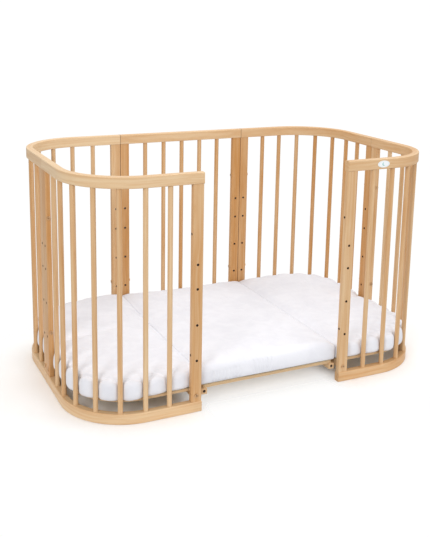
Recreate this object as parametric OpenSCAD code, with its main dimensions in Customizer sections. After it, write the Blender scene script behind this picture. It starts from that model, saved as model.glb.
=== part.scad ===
// Convertible oval crib in beech: four quarter-round modules, one straight back panel,
// an open front, a base in three sections that is bolted at one of five heights,
// and a mattress in three sections that lie on it.
// Origin: middle of the footprint, on the floor. X runs along the crib, Y to the back, Z up.

/* [Overall] */
// Height from the floor to the top of the top rail
crib_height = 790; // [660:2:960]
// Depth over the rails, front to back; each end adds half of it to the length
crib_depth = 812; // [680:4:980]
// Length of the straight panel between the rounded ends
panel_length = 528; // [430:4:640]
// Outer radius of the rounded corners
corner_radius = 221; // [170:1:300]

/* [Rails] */
// Thickness of both rails, from their outer face to their inner face
rail_thickness = 24; // [20:0.5:30]
// Height of the top rail
top_rail_height = 36; // [30:0.5:48]
// Height of the bottom rail, which stands on the floor
bottom_rail_height = 35; // [30:0.5:43]
// Radius of the rails' long edges
rail_edge_radius = 3; // [1:0.5:8]

/* [Slats] */
// Diameter of a round slat
slat_diameter = 16.5; // [13:0.5:18]
// Slats in one quarter module
quarter_slats = 7; // [5:1:8]
// Slats in the straight panel
panel_slats = 5; // [3:1:6]
// How deep a slat sits in each rail
socket_depth = 12; // [8:1:18]

/* [Posts] */
// Width of a post, along the rail
post_width = 36.5; // [30:0.5:44]
// Thickness of a post, across the rail
post_thickness = 18; // [16:0.5:19]
// Radius of the posts' long edges
post_edge_radius = 2.5; // [1:0.5:4]
// Width of the tenon at each end of a post
tenon_width = 22; // [16:0.5:26]
// Thickness of the tenon
tenon_thickness = 10; // [8:0.5:12]
// Length of the tenon
tenon_length = 12; // [8:1:16]

/* [Base heights] */
// Height of the lowest base hole
first_base_height = 56; // [54:1:70]
// Step between the lower four base holes
base_step = 120; // [90:1:130]
// Step from the fourth base hole to the fifth
last_base_step = 80; // [60:1:110]
// Diameter of a base hole
base_hole_d = 8; // [6.5:0.5:9]

/* [Module joints] */
// Height of the lower bolt that joins two modules
lower_joint_height = 195; // [190:1:215]
// Height of the upper bolt that joins two modules
upper_joint_height = 595; // [580:1:660]
// Diameter of the hole for a joint bolt and its sleeve nut
joint_hole_d = 8.4; // [8.2:0.1:9.5]

/* [Hardware] */
// Diameter of a bolt's shank
bolt_d = 6; // [5:0.5:6]
// Diameter of a bolt's flat head
bolt_head_d = 14; // [11:0.5:15]
// Thickness of a bolt's flat head
bolt_head_t = 2.2; // [1.8:0.1:2.8]
// Hexagon socket, across its corners
bolt_socket_d = 4.6; // [4:0.1:5]
// Outer diameter of a sleeve nut
sleeve_d = 8; // [7.6:0.1:8]
// Length of a sleeve nut under its head
sleeve_length = 24; // [18:1:30]
// Outer diameter of a threaded insert
insert_d = 10; // [9:0.5:12]
// Length of a threaded insert
insert_length = 16; // [12:1:20]
// Diameter of a wood screw's shank
screw_d = 3.5; // [3:0.5:4]
// Length of a wood screw
screw_length = 24; // [20:1:26]
// Diameter of a wood screw's countersunk head
screw_head_d = 7; // [6:0.5:8]

/* [Base] */
// Thickness of a base board
board_thickness = 9; // [8:0.5:12]
// Width of a batten
batten_width = 20; // [18:0.5:24]
// Height of a batten
batten_height = 20; // [18:0.5:21]
// From the rails' inner faces to the edge of a board
board_clearance = 2; // [1:0.5:6]
// From the joint plane of the modules to the end of the middle board
middle_board_setback = 14; // [10:0.5:20]
// From the joint plane of the modules to the straight edge of an end board
end_board_setback = 2; // [1:0.5:6]
// Radius of the boards' corners
board_corner_radius = 8; // [4:1:12]
// Width of the steel plate that links two neighbouring battens at the open front
link_plate_width = 20; // [16:1:26]
// Thickness of that plate
link_plate_t = 3; // [2:0.5:3]

/* [Mattress] */
// Thickness of the mattress sections
mattress_thickness = 65; // [50:1:90]
// From the rails' inner faces to the side of the mattress
mattress_clearance = 8; // [2:0.5:12]
// Gap between two mattress sections
mattress_gap = 1; // [0.6:0.1:3]

/* [Name plate] */
// Width of the oval plate
plate_width = 48; // [36:1:60]
// Height of the oval plate
plate_height = 24; // [16:1:26]
// Thickness of the oval plate
plate_t = 1; // [0.8:0.1:2]
// From the start of the rounded corner back to the middle of the plate
plate_setback = 44; // [32:1:70]

/* [Fits] */
// Gap all round a slat or a tenon in its socket
glue_gap = 0.1; // [0.05:0.05:0.3]
// Gap round bolts, screws and inserts in their holes
hardware_gap = 0.1; // [0.05:0.05:0.3]
// Gap between the ends of the battens and the posts
batten_end_gap = 0.5; // [0.3:0.1:1]

/* [Hidden] */
$fn = 48;
half_depth = crib_depth / 2;
half_panel = panel_length / 2;
half_length = half_panel + half_depth;
rail_mid = rail_thickness / 2;
// Centre of a rounded corner, from the middle of the crib
corner_x = half_length - corner_radius;
corner_y = half_depth - corner_radius;
centre_radius = corner_radius - rail_mid;
top_rail_z = crib_height - top_rail_height;
frame_gap = top_rail_z - bottom_rail_height;
// The rails' centreline: how far it is from the joint plane to the start and end of the corner
side_run = corner_x - half_panel;
corner_run = centre_radius * PI / 2;
end_run = corner_y;
quarter_run = side_run + corner_run + end_run;
quarter_gap = (quarter_run - 2 * post_width - quarter_slats * slat_diameter) / (quarter_slats + 1);
panel_gap = (panel_length - 2 * post_width - panel_slats * slat_diameter) / (panel_slats + 1);
socket_d = slat_diameter + 2 * glue_gap;
slat_length = frame_gap + 2 * socket_depth;
base_heights = [for (i = [0 : 3]) first_base_height + i * base_step,
                first_base_height + 3 * base_step + last_base_step];
joint_heights = [lower_joint_height, upper_joint_height];
post_mid_y = half_depth - rail_mid;
post_outer_y = post_mid_y + post_thickness / 2;
post_inner_y = post_mid_y - post_thickness / 2;
// Base
batten_z = first_base_height - batten_height / 2;
board_z = first_base_height + batten_height / 2;
mattress_z = board_z + board_thickness;
batten_end_y = post_inner_y - batten_end_gap;
middle_batten_x = half_panel - post_width / 2;
end_batten_x = half_panel + post_width / 2;
screw_rows = [-0.75, -0.25, 0.25, 0.75];
end_screw_rows = [0.3, 0.8];
screw_head_h = (screw_head_d - screw_d) / 2;
link_plate_y = 0.86 * batten_end_y;
link_plate_length = post_width + batten_width;
link_screw_length = link_plate_t + 0.75 * batten_height;
end_batten_y = post_width / 2;
end_batten_start = end_batten_x + batten_width / 2;
end_batten_end = half_length - half_depth + post_inner_y - batten_end_gap;

beech = "#DEB88C";
pale_beech = "#E6C9A0";
brown_beech = "#C89B6E";
bronze = "#8C6B45";
steel = "#B8B8B4";
cotton = "#F7F7F8";

// ---- helpers -------------------------------------------------------------

// Rounded rectangle, centred
module soft_rectangle(w, h, r) {
    union() {
        square([w - 2 * r, h], center = true);
        square([w, h - 2 * r], center = true);
        for (sx = [-1, 1], sy = [-1, 1])
            translate([sx * (w / 2 - r), sy * (h / 2 - r)]) circle(r);
    }
}

// Puts a shape drawn for the back right quarter into the named quarter
module in_quarter(side, depth) {
    mirror([side < 0 ? 1 : 0, 0, 0]) mirror([0, depth < 0 ? 1 : 0, 0]) children();
}

// Place on the rails' centreline, a run s from the joint plane of the long side
module along_rail(s) {
    if (s <= side_run)
        translate([half_panel + s, post_mid_y, 0]) children();
    else if (s <= side_run + corner_run) {
        turn = 90 - (s - side_run) / centre_radius * 180 / PI;
        translate([corner_x + centre_radius * cos(turn), corner_y + centre_radius * sin(turn), 0])
            children();
    }
    else
        translate([half_length - rail_mid, corner_y - (s - side_run - corner_run), 0]) children();
}

// Straight bar along +X from the origin, with the rail's section
module rail_bar(length, height) {
    rotate([90, 0, 90]) linear_extrude(length)
        translate([0, height / 2]) soft_rectangle(rail_thickness, height, rail_edge_radius);
}

// Quarter-round rail, its underside at z = 0
module quarter_rail(height) {
    union() {
        translate([half_panel, post_mid_y, 0]) rail_bar(side_run, height);
        translate([corner_x, corner_y, 0]) rotate_extrude(angle = 90)
            translate([centre_radius, height / 2])
                soft_rectangle(rail_thickness, height, rail_edge_radius);
        translate([half_length - rail_mid, 0, 0]) rotate([0, 0, 90]) rail_bar(end_run, height);
    }
}

// Mortise for a post's tenon, drawn upwards from z = 0; the rail runs along X
module mortise() {
    w = tenon_width + 2 * glue_gap;
    t = tenon_thickness + 2 * glue_gap;
    translate([-w / 2, -t / 2, 0]) cube([w, t, tenon_length]);
}

// Everything that is cut out of a quarter rail, upwards from z = 0
module quarter_sockets() {
    for (i = [1 : quarter_slats])
        along_rail(post_width + i * quarter_gap + (i - 0.5) * slat_diameter)
            cylinder(d = socket_d, h = socket_depth);
    translate([half_panel + post_width / 2, post_mid_y, 0]) mortise();
    translate([half_length - rail_mid, post_width / 2, 0]) rotate([0, 0, 90]) mortise();
}

// Everything that is cut out of a straight panel's rail, upwards from z = 0
module panel_sockets() {
    for (i = [1 : panel_slats])
        translate([panel_slat_x(i), post_mid_y, 0]) cylinder(d = socket_d, h = socket_depth);
    for (side = [-1, 1])
        translate([side * middle_batten_x, post_mid_y, 0]) mortise();
}

function panel_slat_x(i) =
    -half_panel + post_width + i * panel_gap + (i - 0.5) * slat_diameter;

// ---- wooden frame --------------------------------------------------------

module top_rail(side, depth) {
    in_quarter(side, depth) translate([0, 0, top_rail_z]) difference() {
        quarter_rail(top_rail_height);
        quarter_sockets();
    }
}

module bottom_rail(side, depth) {
    in_quarter(side, depth) difference() {
        quarter_rail(bottom_rail_height);
        translate([0, 0, bottom_rail_height]) mirror([0, 0, 1]) quarter_sockets();
    }
}

module slats(side, depth) {
    in_quarter(side, depth) translate([0, 0, bottom_rail_height - socket_depth])
        for (i = [1 : quarter_slats])
            along_rail(post_width + i * quarter_gap + (i - 0.5) * slat_diameter)
                cylinder(d = slat_diameter, h = slat_length);
}

// Upright post between the rails, its width along X and centred on the origin:
// tenons at both ends, five base holes through the thickness, two joint holes along the width
module post() {
    difference() {
        union() {
            translate([0, 0, bottom_rail_height]) linear_extrude(frame_gap)
                soft_rectangle(post_width, post_thickness, post_edge_radius);
            translate([-tenon_width / 2, -tenon_thickness / 2, bottom_rail_height - tenon_length])
                cube([tenon_width, tenon_thickness, frame_gap + 2 * tenon_length]);
        }
        for (z = base_heights)
            translate([0, 0, z]) rotate([90, 0, 0])
                cylinder(d = base_hole_d, h = 2 * post_thickness, center = true);
        for (z = joint_heights)
            translate([0, 0, z]) rotate([0, 90, 0])
                cylinder(d = joint_hole_d, h = 2 * post_width, center = true);
    }
}

module side_post(side, depth) {
    in_quarter(side, depth) translate([half_panel + post_width / 2, post_mid_y, 0]) post();
}

module end_post(side, depth) {
    in_quarter(side, depth)
        translate([half_length - rail_mid, post_width / 2, 0]) rotate([0, 0, 90]) post();
}

module panel_top_rail() {
    translate([0, 0, top_rail_z]) difference() {
        translate([-half_panel, post_mid_y, 0]) rail_bar(panel_length, top_rail_height);
        panel_sockets();
    }
}

module panel_bottom_rail() {
    difference() {
        translate([-half_panel, post_mid_y, 0]) rail_bar(panel_length, bottom_rail_height);
        translate([0, 0, bottom_rail_height]) mirror([0, 0, 1]) panel_sockets();
    }
}

module panel_slat_row() {
    for (i = [1 : panel_slats])
        translate([panel_slat_x(i), post_mid_y, bottom_rail_height - socket_depth])
            cylinder(d = slat_diameter, h = slat_length);
}

module panel_post(side) {
    translate([side * middle_batten_x, post_mid_y, 0]) post();
}

module front_left_top_rail() { color(pale_beech) top_rail(-1, -1); }
module front_left_bottom_rail() { color(beech) bottom_rail(-1, -1); }
module front_left_slats() { color(beech) slats(-1, -1); }
module front_left_side_post() { color(beech) side_post(-1, -1); }
module front_left_end_post() { color(brown_beech) end_post(-1, -1); }

module front_right_top_rail() { color(beech) top_rail(1, -1); }
module front_right_bottom_rail() { color(beech) bottom_rail(1, -1); }
module front_right_slats() { color(pale_beech) slats(1, -1); }
module front_right_side_post() { color(beech) side_post(1, -1); }
module front_right_end_post() { color(beech) end_post(1, -1); }

module back_left_top_rail() { color(beech) top_rail(-1, 1); }
module back_left_bottom_rail() { color(beech) bottom_rail(-1, 1); }
module back_left_slats() { color(brown_beech) slats(-1, 1); }
module back_left_side_post() { color(brown_beech) side_post(-1, 1); }
module back_left_end_post() { color(beech) end_post(-1, 1); }

module back_right_top_rail() { color(beech) top_rail(1, 1); }
module back_right_bottom_rail() { color(beech) bottom_rail(1, 1); }
module back_right_slats() { color(brown_beech) slats(1, 1); }
module back_right_side_post() { color(brown_beech) side_post(1, 1); }
module back_right_end_post() { color(beech) end_post(1, 1); }

module back_panel_top_rail() { color(beech) panel_top_rail(); }
module back_panel_bottom_rail() { color(beech) panel_bottom_rail(); }
module back_panel_slats() { color(brown_beech) panel_slat_row(); }
module back_panel_left_post() { color(brown_beech) panel_post(-1); }
module back_panel_right_post() { color(brown_beech) panel_post(1); }

// ---- bolts that join the modules -------------------------------------------

// Flat-headed bolt along +X: the head's underside is at the origin
module flat_bolt(length) {
    difference() {
        union() {
            rotate([0, -90, 0]) cylinder(d = bolt_head_d, h = bolt_head_t);
            rotate([0, 90, 0]) cylinder(d = bolt_d, h = length);
        }
        translate([-bolt_head_t, 0, 0]) rotate([0, 90, 0])
            cylinder(d = bolt_socket_d, h = 2 * bolt_head_t, $fn = 6);
    }
}

// Sleeve nut along -X: the head's underside is at the origin
module sleeve_nut() {
    difference() {
        union() {
            rotate([0, 90, 0]) cylinder(d = bolt_head_d, h = bolt_head_t);
            rotate([0, -90, 0]) cylinder(d = sleeve_d, h = sleeve_length);
        }
        translate([-sleeve_length, 0, 0]) rotate([0, 90, 0])
            cylinder(d = bolt_d + 2 * hardware_gap, h = sleeve_length - bolt_head_t);
        translate([bolt_head_t, 0, 0]) rotate([0, -90, 0])
            cylinder(d = bolt_socket_d, h = 1.5 * bolt_head_t, $fn = 6);
    }
}

// The two bolts and the two nuts of a joint whose posts meet at x = 0
module joint_bolt_pair() {
    for (z = joint_heights)
        translate([-post_width, 0, z]) flat_bolt(2 * post_width - 2 * bolt_head_t - hardware_gap);
}

module joint_nut_pair() {
    for (z = joint_heights) translate([post_width, 0, z]) sleeve_nut();
}

module at_end_joint(side) {
    translate([side * (half_length - rail_mid), 0, 0]) rotate([0, 0, 90]) children();
}

module at_back_joint(side) {
    translate([side * half_panel, post_mid_y, 0]) children();
}

module left_end_joint_bolts() { color(bronze) at_end_joint(-1) joint_bolt_pair(); }
module left_end_joint_nuts() { color(bronze) at_end_joint(-1) joint_nut_pair(); }
module right_end_joint_bolts() { color(bronze) at_end_joint(1) joint_bolt_pair(); }
module right_end_joint_nuts() { color(bronze) at_end_joint(1) joint_nut_pair(); }
module back_left_joint_bolts() { color(bronze) at_back_joint(-1) joint_bolt_pair(); }
module back_left_joint_nuts() { color(bronze) at_back_joint(-1) joint_nut_pair(); }
module back_right_joint_bolts() { color(bronze) at_back_joint(1) joint_bolt_pair(); }
module back_right_joint_nuts() { color(bronze) at_back_joint(1) joint_nut_pair(); }

// ---- bolts that hold the base ----------------------------------------------

// Base bolt through a post of the long side, drawn for the back
module side_base_bolt(x) {
    translate([x, post_outer_y, first_base_height]) rotate([0, 0, -90]) flat_bolt(post_thickness);
}

// Base bolt through a post of the right end
module end_base_bolt(y) {
    translate([half_length - half_depth + post_outer_y, y, first_base_height])
        rotate([0, 0, 180]) flat_bolt(post_thickness);
}

module end_section_bolts(side) {
    mirror([side < 0 ? 1 : 0, 0, 0]) {
        side_base_bolt(end_batten_x);
        mirror([0, 1, 0]) side_base_bolt(end_batten_x);
        end_base_bolt(end_batten_y);
        end_base_bolt(-end_batten_y);
    }
}

module left_base_bolts() { color(bronze) end_section_bolts(-1); }
module right_base_bolts() { color(bronze) end_section_bolts(1); }
module back_base_bolts() {
    color(bronze) for (side = [-1, 1]) side_base_bolt(side * middle_batten_x);
}

// ---- oval plate on the straight part of the front right top rail ----------------

module name_plate() {
    color(cotton)
        translate([corner_x - plate_setback, -half_depth, top_rail_z + top_rail_height / 2])
            rotate([90, 0, 0]) linear_extrude(plate_t)
                polygon([for (a = [0 : 7.5 : 352.5])
                    [plate_width / 2 * cos(a), plate_height / 2 * sin(a)]]);
}

// ---- base -------------------------------------------------------------------

// Outline of half the oval to the right of x = start, inset from the outer faces
module end_outline(start, inset) {
    r = corner_radius - inset;
    union() {
        translate([start, -(half_depth - inset)])
            square([corner_x - start, 2 * (half_depth - inset)]);
        translate([corner_x - 1, -corner_y]) square([r + 1, 2 * corner_y]);
        for (depth = [-1, 1])
            intersection() {
                translate([corner_x, depth * corner_y]) circle(r);
                translate([corner_x - 1, depth > 0 ? 0 : -half_depth])
                    square([r + 1, half_depth]);
            }
    }
}

// Countersunk wood screw, head up: its top is at the origin
module wood_screw(length = screw_length) {
    translate([0, 0, -screw_head_h])
        cylinder(d1 = screw_d, d2 = screw_head_d, h = screw_head_h);
    translate([0, 0, -length]) cylinder(d = screw_d, h = length - screw_head_h);
}

// Hole for it, from the surface down
module screw_hole(length = screw_length) {
    gap = 2 * hardware_gap;
    translate([0, 0, -screw_head_h])
        cylinder(d1 = screw_d + gap, d2 = screw_head_d + gap, h = screw_head_h);
    translate([0, 0, -length - hardware_gap])
        cylinder(d = screw_d + gap, h = length + hardware_gap - screw_head_h / 2);
}

// Screws of the right end section, from the board's top
module at_end_screws() {
    for (t = screw_rows)
        translate([end_batten_x, t * batten_end_y, mattress_z]) children();
    for (t = end_screw_rows, depth = [-1, 1])
        translate([end_batten_start + t * (end_batten_end - end_batten_start),
                   depth * end_batten_y, mattress_z])
            children();
}

// Screws of the middle section, from the board's top
module at_middle_screws() {
    for (side = [-1, 1], t = screw_rows)
        translate([side * middle_batten_x, t * batten_end_y, mattress_z]) children();
}

// The four screws of the front link plates, from the plates' underside
module at_link_screws() {
    for (side = [-1, 1], x = [middle_batten_x, end_batten_x])
        translate([side * x, -link_plate_y, batten_z - link_plate_t]) mirror([0, 0, 1]) children();
}

// Threaded insert in the end of a batten, drawn along -X from the batten's end
module insert_ring() {
    rotate([0, -90, 0]) difference() {
        cylinder(d = insert_d, h = insert_length);
        translate([0, 0, -1]) cylinder(d = bolt_d, h = insert_length + 2);
    }
}

module insert_hole() {
    rotate([0, -90, 0]) translate([0, 0, -1])
        cylinder(d = insert_d + 2 * hardware_gap, h = insert_length + 1);
    rotate([0, -90, 0]) cylinder(d = bolt_d, h = 2 * insert_length);
}

// Both ends of a batten that lies along Y at x
module at_batten_ends(x) {
    for (depth = [-1, 1])
        translate([x, depth * batten_end_y, first_base_height])
            rotate([0, 0, depth * 90]) children();
}

// Outer ends of the two battens along X in the right end section
module at_end_batten_ends() {
    for (depth = [-1, 1])
        translate([end_batten_end, depth * end_batten_y, first_base_height]) children();
}

module on_side(side) {
    mirror([side < 0 ? 1 : 0, 0, 0]) children();
}

module end_board(side) {
    on_side(side) difference() {
        translate([0, 0, board_z]) linear_extrude(board_thickness)
            end_outline(half_panel + end_board_setback, rail_thickness + board_clearance);
        at_end_screws() screw_hole();
    }
}

module middle_board() {
    w = panel_length - 2 * middle_board_setback;
    d = 2 * (half_depth - rail_thickness - board_clearance);
    difference() {
        translate([0, 0, board_z]) linear_extrude(board_thickness)
            soft_rectangle(w, d, board_corner_radius);
        at_middle_screws() screw_hole();
    }
}

module cross_batten(x) {
    difference() {
        translate([x - batten_width / 2, -batten_end_y, batten_z])
            cube([batten_width, 2 * batten_end_y, batten_height]);
        at_batten_ends(x) insert_hole();
        at_end_screws() screw_hole();
        at_middle_screws() screw_hole();
        at_link_screws() screw_hole(link_screw_length);
    }
}

module end_batten_pair() {
    difference() {
        for (depth = [-1, 1])
            translate([end_batten_start, depth * end_batten_y - batten_width / 2, batten_z])
                cube([end_batten_end - end_batten_start, batten_width, batten_height]);
        at_end_batten_ends() insert_hole();
        at_end_screws() screw_hole();
    }
}

module end_inserts(side) {
    on_side(side) {
        at_batten_ends(end_batten_x) insert_ring();
        at_end_batten_ends() insert_ring();
    }
}

module left_base_board() { color(pale_beech) end_board(-1); }
module middle_base_board() { color(pale_beech) middle_board(); }
module right_base_board() { color(pale_beech) end_board(1); }
module left_cross_batten() { color(brown_beech) on_side(-1) cross_batten(end_batten_x); }
module left_end_battens() { color(brown_beech) on_side(-1) end_batten_pair(); }
module right_cross_batten() { color(brown_beech) cross_batten(end_batten_x); }
module right_end_battens() { color(brown_beech) end_batten_pair(); }
module middle_left_batten() { color(brown_beech) on_side(-1) cross_batten(middle_batten_x); }
module middle_right_batten() { color(brown_beech) cross_batten(middle_batten_x); }
module left_base_inserts() { color(steel) end_inserts(-1); }
module middle_base_inserts() {
    color(steel) for (side = [-1, 1]) at_batten_ends(side * middle_batten_x) insert_ring();
}
module right_base_inserts() { color(steel) end_inserts(1); }
module left_base_screws() { color(steel) on_side(-1) at_end_screws() wood_screw(); }
module middle_base_screws() { color(steel) at_middle_screws() wood_screw(); }
module right_base_screws() { color(steel) at_end_screws() wood_screw(); }

module front_link_plates() {
    color(steel) difference() {
        for (side = [-1, 1])
            translate([side * half_panel - link_plate_length / 2,
                       -link_plate_y - link_plate_width / 2, batten_z - link_plate_t])
                cube([link_plate_length, link_plate_width, link_plate_t]);
        at_link_screws() screw_hole(link_screw_length);
    }
}
module front_link_screws() {
    color(steel) at_link_screws() wood_screw(link_screw_length);
}

// ---- mattress -----------------------------------------------------------------

module end_mattress(side) {
    on_side(side) translate([0, 0, mattress_z]) linear_extrude(mattress_thickness)
        end_outline(half_panel + mattress_gap / 2, rail_thickness + mattress_clearance);
}

module left_mattress() { color(cotton) end_mattress(-1); }
module right_mattress() { color(cotton) end_mattress(1); }
module middle_mattress() {
    w = panel_length - mattress_gap;
    d = 2 * (half_depth - rail_thickness - mattress_clearance);
    color(cotton) translate([-w / 2, -d / 2, mattress_z]) cube([w, d, mattress_thickness]);
}

// ---- what is drawn ---------------------------------------------------------------

front_left_top_rail();
front_left_bottom_rail();
front_left_slats();
front_left_side_post();
front_left_end_post();
front_right_top_rail();
front_right_bottom_rail();
front_right_slats();
front_right_side_post();
front_right_end_post();
back_left_top_rail();
back_left_bottom_rail();
back_left_slats();
back_left_side_post();
back_left_end_post();
back_right_top_rail();
back_right_bottom_rail();
back_right_slats();
back_right_side_post();
back_right_end_post();
back_panel_top_rail();
back_panel_bottom_rail();
back_panel_slats();
back_panel_left_post();
back_panel_right_post();
left_end_joint_bolts();
left_end_joint_nuts();
right_end_joint_bolts();
right_end_joint_nuts();
back_left_joint_bolts();
back_left_joint_nuts();
back_right_joint_bolts();
back_right_joint_nuts();
left_base_bolts();
right_base_bolts();
back_base_bolts();
name_plate();
left_base_board();
middle_base_board();
right_base_board();
left_cross_batten();
left_end_battens();
right_cross_batten();
right_end_battens();
middle_left_batten();
middle_right_batten();
left_base_inserts();
middle_base_inserts();
right_base_inserts();
left_base_screws();
middle_base_screws();
right_base_screws();
front_link_plates();
front_link_screws();
left_mattress();
middle_mattress();
right_mattress();
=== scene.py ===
# %% [markdown]
# # An oval beech crib
#
# This notebook dresses a finished crib model: its rails, slats, posts, bolts and base boards come
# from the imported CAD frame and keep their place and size. What is made here is the look of each
# material, and the soft pieces that CAD can only hold the place of: three mattress sections, which
# bulge out between the slats and crease where a slat presses into them.

# %% Load the frame
import math
import bmesh
import bpy
import numpy as np
from mathutils import Matrix, Vector


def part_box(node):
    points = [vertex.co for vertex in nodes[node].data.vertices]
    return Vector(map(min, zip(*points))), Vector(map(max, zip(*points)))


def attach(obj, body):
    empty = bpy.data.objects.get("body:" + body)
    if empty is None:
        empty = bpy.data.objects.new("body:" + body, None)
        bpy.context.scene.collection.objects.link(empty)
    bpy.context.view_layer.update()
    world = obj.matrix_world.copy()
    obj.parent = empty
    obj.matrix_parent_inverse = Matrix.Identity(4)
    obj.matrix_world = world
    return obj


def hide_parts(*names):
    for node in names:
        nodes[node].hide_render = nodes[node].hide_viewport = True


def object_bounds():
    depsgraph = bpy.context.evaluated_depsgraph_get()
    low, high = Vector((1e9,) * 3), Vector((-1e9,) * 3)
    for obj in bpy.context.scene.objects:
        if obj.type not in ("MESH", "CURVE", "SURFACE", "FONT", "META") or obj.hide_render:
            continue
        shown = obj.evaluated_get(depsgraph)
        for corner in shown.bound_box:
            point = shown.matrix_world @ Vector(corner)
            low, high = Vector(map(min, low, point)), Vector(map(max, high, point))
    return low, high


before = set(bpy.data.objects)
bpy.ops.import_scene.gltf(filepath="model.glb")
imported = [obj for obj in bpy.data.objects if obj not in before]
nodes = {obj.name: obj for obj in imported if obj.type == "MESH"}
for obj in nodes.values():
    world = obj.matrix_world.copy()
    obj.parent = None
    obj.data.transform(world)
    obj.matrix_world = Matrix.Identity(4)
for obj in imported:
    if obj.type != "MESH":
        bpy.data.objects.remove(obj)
cad_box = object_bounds()
MM = 0.001
print("CAD box", [tuple(round(c, 4) for c in corner) for corner in cad_box])

# %% [markdown]
# ## Sizes that several steps share
#
# The rounded corners are quarter circles. Their radius, with the frame's own box, gives the place
# of every corner's centre, and the grain of the bent rails and the outline of the mattress follow
# from those. The slats' places are read from the frame, so that the mattress meets each of them.

# %% Corner centres and slat places
half_length = cad_box[1].x
half_depth = cad_box[1].y
corner_radius = 221 * MM
corner_x = half_length - corner_radius
corner_y = half_depth - corner_radius
rail_thickness = 24 * MM
middle_radius = corner_radius - rail_thickness / 2
slat_radius = 8.25 * MM
QUARTERS = ["front_left", "front_right", "back_left", "back_right"]
SECTIONS = ("left", "middle", "right")
panel_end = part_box("back_panel_top_rail")[1].x
board_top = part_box("middle_base_board")[1].z


def slat_centres(node):
    """The middle of each slat of a node, seen from above."""
    points = np.array([v.co[:2] for v in nodes[node].data.vertices])
    found = []
    while len(points):
        near = np.linalg.norm(points - points[0], axis=1) < 2.2 * slat_radius
        found.append((points[near].min(0) + points[near].max(0)) / 2)
        points = points[~near]
    return found


slats = []
for name in [q + "_slats" for q in QUARTERS] + ["back_panel_slats"]:
    slats += slat_centres(name)
slats = np.array(slats)
print(len(slats), "slats; corner centre at", round(corner_x, 4), round(corner_y, 4))

# %% [markdown]
# ## Small helpers for shader nodes
#
# A material is a graph of nodes. These helpers keep each step to one line: `add` makes a node and
# sets its inputs, and a value that is itself a socket is joined by a link.

# %% Node helpers


def set_input(tree, node, key, value):
    """Links a socket to the input, or sets the input to a plain value."""
    socket = node.inputs[key]
    if isinstance(value, bpy.types.NodeSocket):
        tree.links.new(value, socket)
    else:
        socket.default_value = value


def add(tree, kind, settings=None, **inputs):
    """A node of that kind. Spaces in an input's name are written as underscores."""
    node = tree.nodes.new(kind)
    for key, value in (settings or {}).items():
        setattr(node, key, value)
    for key, value in inputs.items():
        name = int(key[1:]) if key[0] == "i" and key[1:].isdigit() else key.replace("_", " ")
        set_input(tree, node, name, value)
    return node


def maths(tree, operation, a, b=0.0, c=0.0):
    return add(tree, "ShaderNodeMath", {"operation": operation}, i0=a, i1=b, i2=c).outputs[0]


def rescale(tree, value, low, high, new_low=0.0, new_high=1.0):
    """Carries low..high over to new_low..new_high, with soft ends and nothing beyond them."""
    node = add(tree, "ShaderNodeMapRange", {"interpolation_type": "SMOOTHSTEP"}, Value=value)
    for key, number in (("From Min", low), ("From Max", high),
                        ("To Min", new_low), ("To Max", new_high)):
        node.inputs[key].default_value = number
    return node.outputs["Result"]


def blend_colours(tree, factor, a, b):
    """Colour a where the factor is 0, colour b where it is 1."""
    node = add(tree, "ShaderNodeMix", {"data_type": "RGBA", "blend_type": "MIX"})
    set_input(tree, node, 0, factor)
    set_input(tree, node, 6, a)
    set_input(tree, node, 7, b)
    return node.outputs[2]


def new_group(name, inputs, outputs):
    """An empty node group with the given sockets, and its input and output nodes."""
    group = bpy.data.node_groups.new(name, "ShaderNodeTree")
    for label, kind, value in inputs:
        socket = group.interface.new_socket(label, in_out="INPUT", socket_type=kind)
        if value is not None:
            socket.default_value = value
    for label, kind in outputs:
        group.interface.new_socket(label, in_out="OUTPUT", socket_type=kind)
    return group, group.nodes.new("NodeGroupInput"), group.nodes.new("NodeGroupOutput")


def place_group(tree, group, **inputs):
    return add(tree, "ShaderNodeGroup", {"node_tree": group}, **inputs)


def crib_place(tree):
    """The point of the crib that is being coloured. Every CAD mesh holds frame coordinates."""
    return add(tree, "ShaderNodeTexCoord").outputs["Object"]


def raise_bumps(tree, shader, height, strength, distance):
    bump = add(tree, "ShaderNodeBump", Strength=strength, Distance=distance, Height=height)
    tree.links.new(bump.outputs["Normal"], shader.inputs["Normal"])


def new_material(name):
    material = bpy.data.materials.new(name)
    material.use_nodes = True
    tree = material.node_tree
    return material, tree, tree.nodes["Principled BSDF"]


def give(material, *objects):
    """Puts the material on each object, in place of what it had."""
    for item in objects:
        item.data.materials.clear()
        item.data.materials.append(material)


FLOAT, COLOUR, VECTOR = "NodeSocketFloat", "NodeSocketColor", "NodeSocketVector"
print("helpers ready for", len(nodes), "CAD nodes")

# %% [markdown]
# ## Camera, floor and light
#
# The crib is seen from the front left, a little above its top rail, through a moderately long
# lens. The lens is shifted down a little, which keeps the upright posts from leaning. A pale floor
# that fades into a white room and big soft lamps give the even light of a studio: one broad lamp
# overhead, one from the front left that models the round slats, a weaker one on the right, and a
# low one that lifts the open front.

# %% Camera
CAMERA_PLACE = Vector((-1.308, -2.657, 1.279))
CAMERA_HEADING = math.radians(25.97)
CAMERA_TILT = math.radians(-11.675)
CAMERA_ROLL = math.radians(1.064)
SENSOR_WIDTH, FOCAL_LENGTH = 36, 55.56
SHIFT_ACROSS, SHIFT_DOWN = -0.0102, -0.1648


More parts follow.
